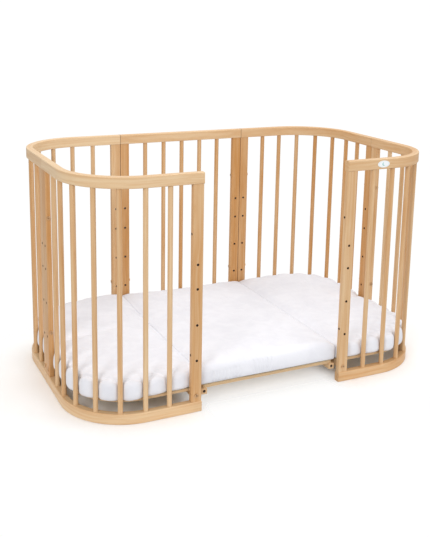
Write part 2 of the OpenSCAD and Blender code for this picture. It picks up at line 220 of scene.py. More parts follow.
def aim_camera(place, heading, tilt, roll):
    """A camera that looks along its heading, measured from +Y towards +X, and its tilt."""
    forward = Vector((math.sin(heading) * math.cos(tilt), math.cos(heading) * math.cos(tilt),
                      math.sin(tilt)))
    level = Vector((math.cos(heading), -math.sin(heading), 0))
    upright = level.cross(forward)
    right = level * math.cos(roll) + upright * math.sin(roll)
    up = upright * math.cos(roll) - level * math.sin(roll)
    data = bpy.data.cameras.new("camera")
    camera = bpy.data.objects.new("camera", data)
    bpy.context.scene.collection.objects.link(camera)
    turn = Matrix((right, up, -forward)).transposed()
    camera.matrix_world = Matrix.Translation(place) @ turn.to_4x4()
    return camera


camera = aim_camera(CAMERA_PLACE, CAMERA_HEADING, CAMERA_TILT, CAMERA_ROLL)
camera.data.sensor_width, camera.data.lens = SENSOR_WIDTH, FOCAL_LENGTH
camera.data.shift_x, camera.data.shift_y = SHIFT_ACROSS, SHIFT_DOWN
bpy.context.scene.camera = camera
print("camera at", [round(c, 3) for c in camera.location])

# %% Floor
FLOOR_REACH = 4
FADE_BEGINS, FADE_ENDS = 1.04, 1.8
# Painted light: between these depths under the open front the floor fades, so the white room lifts
# the crib's shade there.
OPEN_FRONT, UNDER_MIDDLE = -0.42, -0.12
MOST_FADED = 0.8


def plain_floor():
    """A pale sheet that fades into the white room: all round the crib, and under its open front.
    Under the open front the fade is painted light: it lifts the shade that falls on the floor
    there.
    """
    corners = [(x * FLOOR_REACH, y * FLOOR_REACH, 0)
               for x, y in ((-1, -1), (1, -1), (1, 1), (-1, 1))]
    mesh = bpy.data.meshes.new("floor")
    mesh.from_pydata(corners, [], [(0, 1, 2, 3)])
    floor = bpy.data.objects.new("floor", mesh)
    bpy.context.scene.collection.objects.link(floor)
    floor.location.z = -0.2 * MM
    material, tree, shader = new_material("pale_floor")
    set_input(tree, shader, "Base Color", (0.93, 0.915, 0.9, 1))
    set_input(tree, shader, "Roughness", 0.7)
    set_input(tree, shader, "Specular IOR Level", 0.2)
    place = crib_place(tree)
    away = add(tree, "ShaderNodeVectorMath", {"operation": "LENGTH"}, i0=add(
        tree, "ShaderNodeVectorMath", {"operation": "MULTIPLY"}, i0=place,
        i1=(1 / half_length, 1 / half_depth, 0)).outputs[0])
    around = rescale(tree, away.outputs["Value"], FADE_BEGINS, FADE_ENDS, 1, 0)
    x, y, _ = add(tree, "ShaderNodeSeparateXYZ", Vector=place).outputs
    # Painted light: under the open front the floor turns partly see-through, so the white room
    # shows where the crib's shade falls.
    forward = rescale(tree, y, OPEN_FRONT, UNDER_MIDDLE, MOST_FADED, 0)
    opening = rescale(tree, maths(tree, "ABSOLUTE", x), panel_end - 40 * MM, panel_end + 60 * MM,
                      1, 0)
    beside = maths(tree, "SUBTRACT", 1, maths(tree, "MULTIPLY", forward, opening))
    tree.links.new(maths(tree, "MULTIPLY", around, beside), shader.inputs["Alpha"])
    give(material, floor)


plain_floor()
print("floor", 2 * FLOOR_REACH, "m square")

# %% White room and lamps
bpy.context.scene.view_settings.view_transform = "Standard"


def white_room(seen, given):
    """A white surround that looks brighter to the camera than the light it gives."""
    world = bpy.data.worlds.new("studio")
    bpy.context.scene.world = world
    world.use_nodes = True
    tree = world.node_tree
    sky = tree.nodes["Background"]
    sky.inputs["Color"].default_value = (1, 1, 1, 1)
    ray = tree.nodes.new("ShaderNodeLightPath")
    choice = tree.nodes.new("ShaderNodeMapRange")
    choice.inputs["To Min"].default_value = given
    choice.inputs["To Max"].default_value = seen
    tree.links.new(ray.outputs["Is Camera Ray"], choice.inputs["Value"])
    tree.links.new(choice.outputs["Result"], sky.inputs["Strength"])


def soft_lamp(name, place, aim, width, height, power):
    data = bpy.data.lights.new(name, "AREA")
    data.shape = "RECTANGLE"
    data.size, data.size_y = width, height
    data.energy = power
    lamp = bpy.data.objects.new(name, data)
    bpy.context.scene.collection.objects.link(lamp)
    lamp.location = place
    lamp.rotation_euler = (Vector(aim) - Vector(place)).to_track_quat("-Z", "Y").to_euler()


LAMPS = [
    ("overhead", (0.5, 0.8, 3.3), (0.1, 0.1, 0), 4.5, 3.5, 82),
    ("key_left", (-3.2, -2.8, 2.5), (0, 0, 0.4), 1.4, 1.4, 70),
    ("fill_right", (3.4, -2.2, 1.8), (0, 0, 0.4), 2.0, 2.0, 34),
    ("front_low", (0.6, -4.0, 1.2), (0, 0, 0.2), 2.4, 1.4, 24),
]
white_room(seen=1.02, given=0.6)
for lamp in LAMPS:
    soft_lamp(*lamp)
print(len(LAMPS), "lamps in a white room")

# %% [markdown]
# ## Grain that follows a bent rail
#
# A rail is bent round the corner, so its grain runs along it and not along X or Y. This group turns
# a point of the crib into rail coordinates: how far along the rail it is, how far out from the
# corner's centre, and how high. The same formula holds on the straight parts and on the bend,
# because the offset from the corner's centre is cut off at zero on each axis.

# %% Rail coordinates


def make_rail_coordinates():
    group, enter, leave = new_group("rail_coordinates", [("Point", VECTOR, None)],
                                    [("Along", VECTOR)])
    x, y, z = add(group, "ShaderNodeSeparateXYZ", Vector=enter.outputs["Point"]).outputs
    away_x = maths(group, "ABSOLUTE", x)
    away_y = maths(group, "ABSOLUTE", y)
    past_x = maths(group, "MAXIMUM", maths(group, "SUBTRACT", away_x, corner_x), 0.0)
    past_y = maths(group, "MAXIMUM", maths(group, "SUBTRACT", away_y, corner_y), 0.0)
    turn = maths(group, "ARCTAN2", past_y, past_x)
    bend = maths(group, "SUBTRACT", math.pi / 2, turn)
    on_bend = maths(group, "MULTIPLY", bend, middle_radius)
    before = maths(group, "MINIMUM", away_x, corner_x)
    after = maths(group, "SUBTRACT", corner_y, maths(group, "MINIMUM", away_y, corner_y))
    run = maths(group, "ADD", maths(group, "ADD", before, on_bend), after)
    out = maths(group, "POWER", maths(group, "ADD", maths(group, "MULTIPLY", past_x, past_x),
                                      maths(group, "MULTIPLY", past_y, past_y)), 0.5)
    joined = add(group, "ShaderNodeCombineXYZ", i0=run, i1=out, i2=z)
    group.links.new(joined.outputs[0], leave.inputs["Along"])
    return group


rail_coordinates = make_rail_coordinates()
print("rail coordinates:", len(rail_coordinates.nodes), "nodes")

# %% [markdown]
# ## Beech
#
# Lacquered beech is pale and even. Seen close, it has three things: faint bands where the growth
# rings come to the surface, long fine streaks, and thousands of short brown flecks a few
# millimetres long, which are its rays cut across. Each could be a painted picture of wood, but a
# picture shows its edges and has to be laid out on every bend. One group makes all three from a
# point whose X runs along the grain, and a slow noise sways that point first, so the rings wander.
# Each material gives the group its own tone, so no two parts look sawn from the same plank.

# %% Beech grain group
GRAIN_SWAY = 16 * MM
RAY_BROWN = (0.34, 0.17, 0.07, 1)


def make_beech_grain():
    group, enter, leave = new_group(
        "beech_grain",
        [("Point", VECTOR, None), ("Pale", COLOUR, (0.8, 0.55, 0.32, 1)),
         ("Dark", COLOUR, (0.6, 0.36, 0.18, 1)), ("Tone", FLOAT, 0.5), ("Flecks", FLOAT, 0.5)],
        [("Color", COLOUR), ("Roughness", FLOAT), ("Height", FLOAT)])

    def stretched(point, along, across):
        return add(group, "ShaderNodeVectorMath", {"operation": "MULTIPLY"}, i0=point,
                   i1=(along, across, across)).outputs[0]

    bare = enter.outputs["Point"]
    sway = add(group, "ShaderNodeTexNoise", Vector=stretched(bare, 5, 14), Scale=1.0, Detail=1.0)
    point = add(group, "ShaderNodeVectorMath", {"operation": "MULTIPLY_ADD"},
                i0=sway.outputs["Color"], i1=(0, GRAIN_SWAY, GRAIN_SWAY), i2=bare).outputs[0]
    drift = add(group, "ShaderNodeTexNoise", Vector=stretched(point, 2.2, 22), Scale=1.0,
                Detail=2.0)
    rings = add(group, "ShaderNodeTexNoise", Vector=stretched(point, 3, 150), Scale=1.0,
                Detail=3.0, Roughness=0.6)
    streaks = add(group, "ShaderNodeTexNoise", Vector=stretched(point, 9, 620), Scale=1.0,
                  Detail=2.0)
    rays = add(group, "ShaderNodeTexVoronoi", Vector=stretched(point, 330, 1500), Scale=1.0)
    fleck = rescale(group, rays.outputs["Distance"], 0.16, 0.34, 1.0, 0.0)
    crowd = rescale(group, drift.outputs["Fac"], 0.35, 0.65, 0.45, 1.0)
    fleck = maths(group, "MULTIPLY", maths(group, "MULTIPLY", fleck, crowd),
                  enter.outputs["Flecks"])
    shade = maths(group, "MULTIPLY_ADD", drift.outputs["Fac"], 0.55, -0.275)
    shade = maths(group, "MULTIPLY_ADD", rescale(group, rings.outputs["Fac"], 0.3, 0.7), 0.34,
                  maths(group, "ADD", shade, -0.17))
    shade = maths(group, "MULTIPLY_ADD", streaks.outputs["Fac"], 0.24,
                  maths(group, "ADD", shade, -0.12))
    mix = maths(group, "ADD", shade, enter.outputs["Tone"])
    mix = maths(group, "MINIMUM", maths(group, "MAXIMUM", mix, 0.0), 1.0)
    colour = blend_colours(group, mix, enter.outputs["Pale"], enter.outputs["Dark"])
    colour = blend_colours(group, maths(group, "MULTIPLY", fleck, 0.5), colour, RAY_BROWN)
    group.links.new(colour, leave.inputs["Color"])
    rough = maths(group, "MULTIPLY_ADD", rings.outputs["Fac"], 0.16, 0.36)
    group.links.new(rough, leave.inputs["Roughness"])
    height = maths(group, "SUBTRACT", maths(group, "MULTIPLY", streaks.outputs["Fac"], 0.5),
                   maths(group, "MULTIPLY", fleck, 0.35))
    group.links.new(height, leave.inputs["Height"])
    return group


beech_grain = make_beech_grain()
print("beech grain:", len(beech_grain.nodes), "nodes")

# %% [markdown]
# ## Joint lines between modules
#
# Where two modules are bolted together, a hair-thin shadow runs up between their posts and across
# the rails. A real gap in the mesh would be too fine to see, so a mask marks the surface within a
# millimetre of the joint. At the two ends the modules meet tighter, so the line is fainter there,
# and the posts beside the open front have no neighbour and stay plain.

# %% Joint lines
JOINT_LINE = 1.1 * MM
END_LINE_STRENGTH, LINE_STRENGTH = 0.35, 0.85
JOINT_SHADOW = (0.17, 0.065, 0.025, 1)


def make_joint_lines():
    """Marks the thin dark lines where one module meets the next, and leaves bare ends alone."""
    group, enter, leave = new_group("joint_lines", [("Point", VECTOR, None),
                                                    ("Width", FLOAT, JOINT_LINE)],
                                    [("Line", FLOAT)])
    x, y, _ = add(group, "ShaderNodeSeparateXYZ", Vector=enter.outputs["Point"]).outputs
    off_side = maths(group, "ABSOLUTE", maths(group, "SUBTRACT", maths(group, "ABSOLUTE", x),
                                              panel_end))
    at_side = maths(group, "LESS_THAN", off_side, enter.outputs["Width"])
    behind = maths(group, "GREATER_THAN", y, 0.0)
    at_end = maths(group, "LESS_THAN", maths(group, "ABSOLUTE", y), enter.outputs["Width"])
    line = maths(group, "MAXIMUM", maths(group, "MULTIPLY", at_side, behind),
                 maths(group, "MULTIPLY", at_end, END_LINE_STRENGTH))
    group.links.new(line, leave.inputs["Line"])
    return group


joint_lines = make_joint_lines()


def colour_over(tree, shader, mask, colour):
    """Lays a colour over the one that a material already has, where the mask is 1."""
    under = shader.inputs["Base Color"].links[0].from_socket
    tree.links.new(blend_colours(tree, mask, under, colour), shader.inputs["Base Color"])


def darken_joints(tree, shader, place):
    line = place_group(tree, joint_lines, Point=place, Width=JOINT_LINE).outputs["Line"]
    colour_over(tree, shader, maths(tree, "MULTIPLY", line, LINE_STRENGTH), JOINT_SHADOW)


print("joint lines", JOINT_LINE / MM, "mm to each side of a joint")

# %% [markdown]
# ## Beech on rails, posts and slats
#
# Three kinds of part are cut from the same wood. A bent rail takes its grain from rail coordinates.
# A post or a slat is upright, so its axes are turned until X runs up it. The inside of a drilled
# hole is end grain in shadow: it is marked by its distance from the hole's axis, because the holes
# are real and only their walls need darkening.

# %% Beech materials
PALE_BEECH = (0.755, 0.565, 0.35, 1)
DARK_BEECH = (0.545, 0.26, 0.078, 1)
LACQUER_COAT = 0.12


def finish_wood(tree, shader, point, tone, flecks=0.6, pale=PALE_BEECH, dark=DARK_BEECH):
    """Lays beech grain on a material, from a point whose X runs along the grain."""
    grain = place_group(tree, beech_grain, Point=point, Pale=pale, Dark=dark, Tone=tone,
                        Flecks=flecks)
    tree.links.new(grain.outputs["Color"], shader.inputs["Base Color"])
    tree.links.new(grain.outputs["Roughness"], shader.inputs["Roughness"])
    raise_bumps(tree, shader, grain.outputs["Height"], 0.12, 0.1 * MM)
    shader.inputs["Coat Weight"].default_value = LACQUER_COAT
    shader.inputs["Coat Roughness"].default_value = 0.35
    shader.inputs["Specular IOR Level"].default_value = 0.35


def shifted(tree, vector, seed):
    """Moves the pattern, so that each part is cut from its own piece of wood."""
    offset = (1.7 * seed, 0.61 * seed, 0.37 * seed)
    return add(tree, "ShaderNodeVectorMath", {"operation": "ADD"}, i0=vector,
               i1=offset).outputs[0]


def rail_beech(name, seed, tone):
    material, tree, shader = new_material(name)
    place = crib_place(tree)
    along = place_group(tree, rail_coordinates, Point=place).outputs["Along"]
    finish_wood(tree, shader, shifted(tree, along, seed), tone)
    darken_joints(tree, shader, place)
    return material


def turned(tree, vector, order):
    """The same point with its axes in another order: ZXY suits wood whose grain is upright."""
    split = add(tree, "ShaderNodeSeparateXYZ", Vector=vector)
    picked = [split.outputs["XYZ".index(axis)] for axis in order]
    return add(tree, "ShaderNodeCombineXYZ", i0=picked[0], i1=picked[1], i2=picked[2]).outputs[0]


def straight_beech(name, seed, tone, order="ZXY", **looks):
    material, tree, shader = new_material(name)
    place = crib_place(tree)
    finish_wood(tree, shader, shifted(tree, turned(tree, place, order), seed), tone, **looks)
    return material


print("beech from", PALE_BEECH[:3], "to", DARK_BEECH[:3])

# %% Posts, with their drilled holes
BASE_ROWS = (56 * MM, 176 * MM, 296 * MM, 416 * MM, 496 * MM)
JOINT_ROWS = (195 * MM, 595 * MM)
HOLE_RADIUS = 4.35 * MM
BORE_SHADOW = (0.05, 0.02, 0.01, 1)


def make_drilled_holes():
    """A mask that is 1 inside the bore of any hole of a row, along an axis at a chosen middle."""
    group, enter, leave = new_group(
        "drilled_holes", [("Across", FLOAT, 0.0), ("Height", FLOAT, 0.0), ("Middle", FLOAT, 0.0),
                          ("Radius", FLOAT, HOLE_RADIUS)], [("Base Rows", FLOAT),
                                                            ("Joint Rows", FLOAT)])
    off = maths(group, "SUBTRACT", enter.outputs["Across"], enter.outputs["Middle"])
    for label, rows in (("Base Rows", BASE_ROWS), ("Joint Rows", JOINT_ROWS)):
        nearest = None
        for row in rows:
            drop = maths(group, "ABSOLUTE", maths(group, "SUBTRACT", enter.outputs["Height"], row))
            nearest = drop if nearest is None else maths(group, "MINIMUM", nearest, drop)
        reach = maths(group, "SQRT", maths(group, "ADD", maths(group, "MULTIPLY", off, off),
                                           maths(group, "MULTIPLY", nearest, nearest)))
        inside = maths(group, "LESS_THAN", reach, enter.outputs["Radius"])
        group.links.new(inside, leave.inputs[label])
    return group


drilled_holes = make_drilled_holes()


def post_beech(name, seed, tone, post):
    """Upright beech whose bores are dark: they are end grain, and little light gets in."""
    material = straight_beech(name, seed, tone)
    tree = material.node_tree
    shader = tree.nodes["Principled BSDF"]
    low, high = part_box(post)
    middle = (low + high) / 2
    faces_side = (high.x - low.x) > (high.y - low.y)
    place = crib_place(tree)
    darken_joints(tree, shader, place)
    x, y, z = add(tree, "ShaderNodeSeparateXYZ", Vector=place).outputs
    across, through = (x, y) if faces_side else (y, x)
    across_middle, through_middle = ((middle.x, middle.y) if faces_side
                                     else (middle.y, middle.x))
    base = place_group(tree, drilled_holes, Across=across, Height=z, Middle=across_middle)
    joint = place_group(tree, drilled_holes, Across=through, Height=z, Middle=through_middle)
    bores = maths(tree, "MAXIMUM", base.outputs["Base Rows"], joint.outputs["Joint Rows"])
    colour_over(tree, shader, bores, BORE_SHADOW)
    return material


print(len(BASE_ROWS), "base holes and", len(JOINT_ROWS), "joint holes in a post")

# %% Slats, each with its own tone
SLAT_TONE_SPREAD = 0.36


def slat_beech(name, seed, tone, start, pitch):
    """Upright beech whose tone changes from one slat to the next along the rail."""
    material, tree, shader = new_material(name)
    place = crib_place(tree)
    along = place_group(tree, rail_coordinates, Point=place).outputs["Along"]
    run = add(tree, "ShaderNodeSeparateXYZ", Vector=along).outputs[0]
    which = maths(tree, "ROUND", maths(tree, "DIVIDE", maths(tree, "SUBTRACT", run, start), pitch))
    chance = add(tree, "ShaderNodeTexWhiteNoise", {"noise_dimensions": "1D"},
                 W=maths(tree, "ADD", which, 7.3 * seed)).outputs["Value"]
    own_tone = maths(tree, "MULTIPLY_ADD", chance, SLAT_TONE_SPREAD, tone - SLAT_TONE_SPREAD / 2)
    finish_wood(tree, shader, shifted(tree, turned(tree, place, "ZXY"), seed), own_tone)
    return material


print("slat tones spread over", SLAT_TONE_SPREAD)

# %% [markdown]
# ## Which wood goes where
#
# The back left top rail is the palest piece and the back panel's posts are the brownest. Each rail
# and post gets its own seed, so its figure differs, and its own tone. The darker tones of the
# right-hand rails and of the back right and back panel posts are partly the wood's own and partly
# painted shade, for less light reaches those parts. The slats of one row share a material and take
# a tone each, from their number along the rail.

# %% Run of a point along its rail


def run_along_rail(x, y):
    """Distance along a rail's middle line from the middle of the long side, as in the shader."""
    past_x = np.maximum(np.abs(x) - corner_x, 0)
    past_y = np.maximum(np.abs(y) - corner_y, 0)
    turn = np.arctan2(past_y, past_x)
    return (np.minimum(np.abs(x), corner_x) + (np.pi / 2 - turn) * middle_radius
            + corner_y - np.minimum(np.abs(y), corner_y))


quarter_runs = sorted(run_along_rail(*slat) for slat in slats
                      if slat[0] < -panel_end and slat[1] < 0)
slat_pitch = (quarter_runs[-1] - quarter_runs[0]) / (len(quarter_runs) - 1)
print("slats every", round(slat_pitch / MM, 1), "mm along the rail")

# %% Rails, slats and posts
# Higher tones are browner. On the right-hand rails and the back right and back panel posts the
# darker tone is partly painted shade.
RAIL_TONES = {"front_left": 0.26, "front_right": 0.5, "back_left": 0.18, "back_right": 0.5,
              "back_panel": 0.36}
POST_TONES = {"front_left": 0.68, "front_right": 0.5, "back_left": 0.56, "back_right": 0.82,
              "back_panel": 0.88}
SLAT_TONES = {"front_left": 0.36, "front_right": 0.42, "back_left": 0.55, "back_right": 0.72,
              "back_panel": 0.74}
seed = 0
for module, rail_tone in RAIL_TONES.items():
    for part in ("top_rail", "bottom_rail"):
        seed += 1
        give(rail_beech(f"beech_{module}_{part}", seed, rail_tone + 0.1 * (part != "top_rail")),
             nodes[f"{module}_{part}"])
    ends = ("left_post", "right_post") if module == "back_panel" else ("side_post", "end_post")
    for part in ends:
        seed += 1
        shade = POST_TONES[module] + (0.06 if part == ends[1] else -0.03)
        post = f"{module}_{part}"
        give(post_beech(f"beech_{post}", seed, shade, post), nodes[post])
    seed += 1
    give(slat_beech(f"beech_{module}_slats", seed, SLAT_TONES[module], quarter_runs[0],
                    slat_pitch), nodes[f"{module}_slats"])
print(seed, "pieces of beech, each with its own figure")

# %% Battens


def named(*endings):
    """The CAD nodes whose names end so."""
    return [nodes[name] for name in nodes if name.endswith(endings)]


give(straight_beech("beech_battens_across", 31, 0.45, "YXZ"), *named("_batten"))
give(straight_beech("beech_battens_end", 32, 0.4, "XYZ"), *named("_end_battens"))
print(len(named("_batten", "_end_battens")), "batten nodes")

# %% [markdown]
# ## Plywood base boards
#
# A board is birch plywood: a plain face, and an edge that shows its thin plies as light and dark
# lines. The edge lines follow height, and a mask made from the surface's direction keeps them off
# the face.

# %% Birch plywood


def birch_plywood(seed):
    material, tree, shader = new_material(f"birch_plywood_{seed}")
    coords = add(tree, "ShaderNodeTexCoord")
    face = place_group(tree, beech_grain, Point=shifted(tree, coords.outputs["Object"], seed),
                       Pale=(0.88, 0.72, 0.48, 1), Dark=(0.72, 0.52, 0.29, 1), Tone=0.3,
                       Flecks=0.1)
    height = add(tree, "ShaderNodeSeparateXYZ", Vector=coords.outputs["Object"]).outputs[2]
    ply = maths(tree, "SINE", maths(tree, "MULTIPLY", height, 2 * math.pi / (3 * MM)))
    edge = blend_colours(tree, rescale(tree, ply, -0.5, 0.5), (0.46, 0.28, 0.13, 1),
                         (0.72, 0.52, 0.31, 1))
    up = add(tree, "ShaderNodeSeparateXYZ", Vector=coords.outputs["Normal"]).outputs[2]
    on_edge = rescale(tree, maths(tree, "ABSOLUTE", up), 0.3, 0.6, 1.0, 0.0)
    tree.links.new(blend_colours(tree, on_edge, face.outputs["Color"], edge),
                   shader.inputs["Base Color"])
    tree.links.new(face.outputs["Roughness"], shader.inputs["Roughness"])
    raise_bumps(tree, shader, face.outputs["Height"], 0.15, 0.1 * MM)
    return material


for number, section in enumerate(SECTIONS):
    give(birch_plywood(41 + number), nodes[f"{section}_base_board"])
print(len(SECTIONS), "plywood boards")

# %% [markdown]
# ## Metal
#
# Steel holds the crib together in three materials. Bronze-coloured bolts and nuts sit where they
# are seen, and bright zinc screws and plates sit underneath. The threaded inserts lie deep in their
# holes, and their near-black colour is painted shade, the dark of those holes. All share one group
# of small marks: cloudy plating, fine pitting and a little grime, which move the colour and the
# roughness.

# %% Plated metal


def make_plating_marks():
    group, enter, leave = new_group(
        "plating_marks",
        [("Point", VECTOR, None), ("Clean", COLOUR, (0.7, 0.7, 0.7, 1)),
         ("Grimy", COLOUR, (0.3, 0.3, 0.3, 1)), ("Shine", FLOAT, 0.3)],
        [("Color", COLOUR), ("Roughness", FLOAT), ("Height", FLOAT)])
    cloud = add(group, "ShaderNodeTexNoise", Vector=enter.outputs["Point"], Scale=160.0,
                Detail=3.0)
    fine = add(group, "ShaderNodeTexNoise", Vector=enter.outputs["Point"], Scale=1500.0,
               Detail=2.0)
    dirt = rescale(group, cloud.outputs["Fac"], 0.42, 0.72)
    group.links.new(blend_colours(group, maths(group, "MULTIPLY", dirt, 0.6),
                                  enter.outputs["Clean"], enter.outputs["Grimy"]),
                    leave.inputs["Color"])
    rough = maths(group, "MULTIPLY_ADD", dirt, 0.2, enter.outputs["Shine"])
    group.links.new(maths(group, "MULTIPLY_ADD", fine.outputs["Fac"], 0.12, rough),
                    leave.inputs["Roughness"])
    group.links.new(fine.outputs["Fac"], leave.inputs["Height"])
    return group


plating_marks = make_plating_marks()


def plated_metal(name, clean, grimy, shine):
    material, tree, shader = new_material(name)
    place = crib_place(tree)
    marks = place_group(tree, plating_marks, Point=place, Clean=clean, Grimy=grimy, Shine=shine)
    tree.links.new(marks.outputs["Color"], shader.inputs["Base Color"])
    tree.links.new(marks.outputs["Roughness"], shader.inputs["Roughness"])
    raise_bumps(tree, shader, marks.outputs["Height"], 0.1, 0.05 * MM)
    shader.inputs["Metallic"].default_value = 1.0
    return material


METALS = {
    "bronzed_steel": ((0.7, 0.47, 0.27, 1), (0.34, 0.2, 0.1, 1), 0.44, ("_bolts", "_joint_nuts")),
    "zinc_plated_steel": ((0.72, 0.72, 0.7, 1), (0.4, 0.4, 0.38, 1), 0.28,
                          ("_screws", "_link_plates")),
    # Painted shade: the inserts are coloured near black for the dark of the deep holes they sit in.
    "zinc_steel_painted_shade": ((0.17, 0.11, 0.08, 1), (0.05, 0.035, 0.03, 1), 0.4, ("_inserts",)),
}
for name, (clean, grimy, shine, endings) in METALS.items():
    give(plated_metal(name, clean, grimy, shine), *named(*endings))
    print(name, "on", len(named(*endings)), "nodes")

# %% [markdown]
# ## Oval plate
#
# A small enamelled oval is fixed to the front right top rail. It carries a fine rim line and a
# crescent moon, both drawn by distance: inside or outside an ellipse, and inside one circle but
# outside another.

# %% Enamel with a rim line and a moon
MOON_RADIUS, BITE_RADIUS = 6 * MM, 5 * MM
BITE_OFFSET = (2.6 * MM, 1.2 * MM)
RIM_STRENGTH = 0.35


def enamel_plate():
    low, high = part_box("name_plate")
    middle = (low + high) / 2
    half_width, half_height = (high.x - low.x) / 2, (high.z - low.z) / 2
    material, tree, shader = new_material("pale_enamel")
    place = crib_place(tree)
    across = add(tree, "ShaderNodeVectorMath", {"operation": "SUBTRACT"}, i0=place,
                 i1=tuple(middle))
    x, _, z = add(tree, "ShaderNodeSeparateXYZ", Vector=across.outputs[0]).outputs

    def distance(centre_x, centre_z, wide, tall):
        over = maths(tree, "DIVIDE", maths(tree, "SUBTRACT", x, centre_x), wide)
        up = maths(tree, "DIVIDE", maths(tree, "SUBTRACT", z, centre_z), tall)
        return maths(tree, "SQRT", maths(tree, "ADD", maths(tree, "MULTIPLY", over, over),
                                         maths(tree, "MULTIPLY", up, up)))

    rim = distance(0, 0, half_width, half_height)
    line = maths(tree, "MULTIPLY", rescale(tree, rim, 0.8, 0.83),
                 rescale(tree, rim, 0.87, 0.9, 1.0, 0.0))
    disc = rescale(tree, distance(0, 0, MOON_RADIUS, MOON_RADIUS), 0.95, 1.05, 1.0, 0.0)
    bite = rescale(tree, distance(*BITE_OFFSET, BITE_RADIUS, BITE_RADIUS), 0.95, 1.05)
    moon = maths(tree, "MULTIPLY", disc, bite)
    mark = maths(tree, "MAXIMUM", maths(tree, "MULTIPLY", line, RIM_STRENGTH), moon)
    cloud = add(tree, "ShaderNodeTexNoise", Vector=place, Scale=90.0, Detail=2.0)
    ground = blend_colours(tree, cloud.outputs["Fac"], (0.84, 0.87, 0.9, 1),
                           (0.88, 0.91, 0.93, 1))
    tree.links.new(blend_colours(tree, mark, ground, (0.22, 0.54, 0.5, 1)),
                   shader.inputs["Base Color"])
    tree.links.new(maths(tree, "MULTIPLY_ADD", mark, 0.2, 0.14), shader.inputs["Roughness"])
    raise_bumps(tree, shader, mark, 0.4, 0.2 * MM)
    shader.inputs["Coat Weight"].default_value = 0.4
    return material


give(enamel_plate(), nodes["name_plate"])
print("plate on the front right rail")

# %% [markdown]
# ## Mattress: the shape before it is filled
#
# The mattress is foam in a cotton cover, in three sections that meet in straight seams. It is a
# little too big for the crib, so it bulges out between the slats and each slat presses a dent into
# its side. The outline is described in rail coordinates: at each place along the rail, how deep
# inside the rail's middle line the cover lies. Between two slats that depth follows an arch.

# %% Where slats and posts press
COVER_GAP = 0.9 * MM
post_half_depth = 9 * MM
post_width = 36.5 * MM
bend_length = middle_radius * math.pi / 2
run_end = corner_x + bend_length + corner_y
depth_at_slat, depth_at_post = slat_radius + COVER_GAP, post_half_depth + COVER_GAP
SLAT_CONTACT = 5 * MM
OPEN_FRONT_DEPTH = 8 * MM
BULGE = 19 * MM
WIDE_GAP = 62 * MM
EASING_BEFORE_BEND, EASING_LENGTH = 90 * MM, 110 * MM


def pressed_places(side):
    """(start, end, depth) of each place where wood presses the cover, on the front (-1) or back."""
    places = []
    if side < 0:
        places.append((-panel_end, panel_end, OPEN_FRONT_DEPTH))
    else:
        places.append((panel_end - post_width, panel_end, depth_at_post))
    places.append((panel_end, panel_end + post_width, depth_at_post))
    places.append((run_end - post_width, run_end + post_width, depth_at_post))
    for x, y in slats:
        if y * side > 0 and x <= 1 * MM:
            run = run_along_rail(x, y)
            places.append((run - SLAT_CONTACT / 2, run + SLAT_CONTACT / 2, depth_at_slat))
    if side > 0:
        places.append((-panel_end, -panel_end + post_width, depth_at_post))
    return sorted(places)


PRESSED = {side: pressed_places(side) for side in (-1, 1)}
print(len(PRESSED[-1]), "pressed places on the front,", len(PRESSED[1]), "on the back")

# %% How deep the cover lies


def roundness(run):
    """The cover swells most between the slats of a corner and least along the straight."""
    share = min(max((run - corner_x + EASING_BEFORE_BEND) / EASING_LENGTH, 0), 1)
    return 0.5 + 0.5 * share * share * (3 - 2 * share)


def cover_depth(run, side, fullness):
    """Depth of the cover inside the rail's middle line. Fullness is 0 at its edges, 1 midway up."""
    places = PRESSED[side]
    for (start, end, depth), following in zip(places, places[1:] + [None]):
        if start <= run <= end:
            return depth
        if following and end < run < following[0]:
            gap = following[0] - end
            share = (run - end) / gap
            arch = (4 * share * (1 - share)) ** 0.62
            level = depth + (following[2] - depth) * share
            swell = BULGE * roundness(run) * min(gap / WIDE_GAP, 1) * arch
            return level - swell * (0.45 + 0.55 * fullness)
    return depth_at_post


def from_rail(run, depth, sign_x, sign_y):
    """The point that lies so far along the rail and so deep inside its middle line."""
    out = middle_radius - depth
    if run < corner_x:
        x, y = run, corner_y + out
    elif run < corner_x + bend_length:
        turn = (run - corner_x) / middle_radius
        x, y = corner_x + out * math.sin(turn), corner_y + out * math.cos(turn)
    else:
        x, y = corner_x + out, corner_y - (run - corner_x - bend_length)
    return x * sign_x, y * sign_y


fullest = max(-cover_depth(run, -1, 1) for run in np.linspace(panel_end, run_end, 200))
print("the cover reaches", round(fullest / MM, 1), "mm outside the rail's middle line")

# %% [markdown]
# ## Mattress: rings, remesh and pressure
#
# The closed form is a stack of rings from the bottom edge to the top, each pulled in a little more
# near the edges so that the corners are round. The form starts a few millimetres small. A voxel
# remesh makes it an even net of squares, which a cloth simulation then fills with pressure, as
# foam fills its cover. How far a point may move is capped, so the cover keeps its size.

# %% Rings of one section
MATTRESS_BOTTOM = board_top + 0.4 * MM
MATTRESS_TOP = 139 * MM
START_SMALL = 2.5 * MM
OUTER_ROUND_TOP, OUTER_ROUND_BOTTOM = 18 * MM, 9 * MM
SEAM_ROUND = 4 * MM
CORNER_ROUND = 5 * MM
SEAM_GAP = 0.25 * MM
LEVELS = 18


def edge_inset(height, low, high, round_low, round_high):
    """How far a rounded side lies inside its fullest line at one height."""
    if height > high - round_high:
        rise = height - (high - round_high)
        return round_high - math.sqrt(max(round_high ** 2 - rise ** 2, 0))
    if height < low + round_low:
        drop = low + round_low - height
        return round_low - math.sqrt(max(round_low ** 2 - drop ** 2, 0))
    return 0.0


